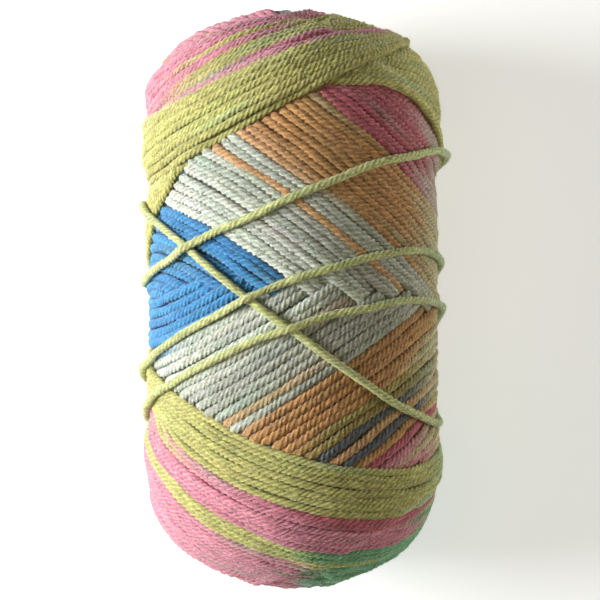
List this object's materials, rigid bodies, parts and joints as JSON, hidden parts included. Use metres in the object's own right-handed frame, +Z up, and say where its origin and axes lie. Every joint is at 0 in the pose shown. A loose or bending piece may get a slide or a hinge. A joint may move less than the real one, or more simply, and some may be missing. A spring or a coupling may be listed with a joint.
{
  "type": "skein of wool yarn",
  "caption": "Centre-pull skein of plied yarn, wound slantwise into a round-ended barrel, with thicker swathes over its shoulders and slack outer turns.",
  "frame": {"origin": "middle of the flat that the skein rests on, under the middle of its box", "axes": "+Y along the skein's axis towards its rounder end, +Z up away from what it rests on, +X across"},
  "size_m": [0.0823, 0.153, 0.0781],
  "materials": {
    "yarn": "matt plied yarn, dyed in long pastel stretches of lemon, rose, sky, ivory, mint, tan and grey-blue"
  },
  "bodies": {
    "root": {"wound_skein": "yarn"}
  },
  "joints": []
}
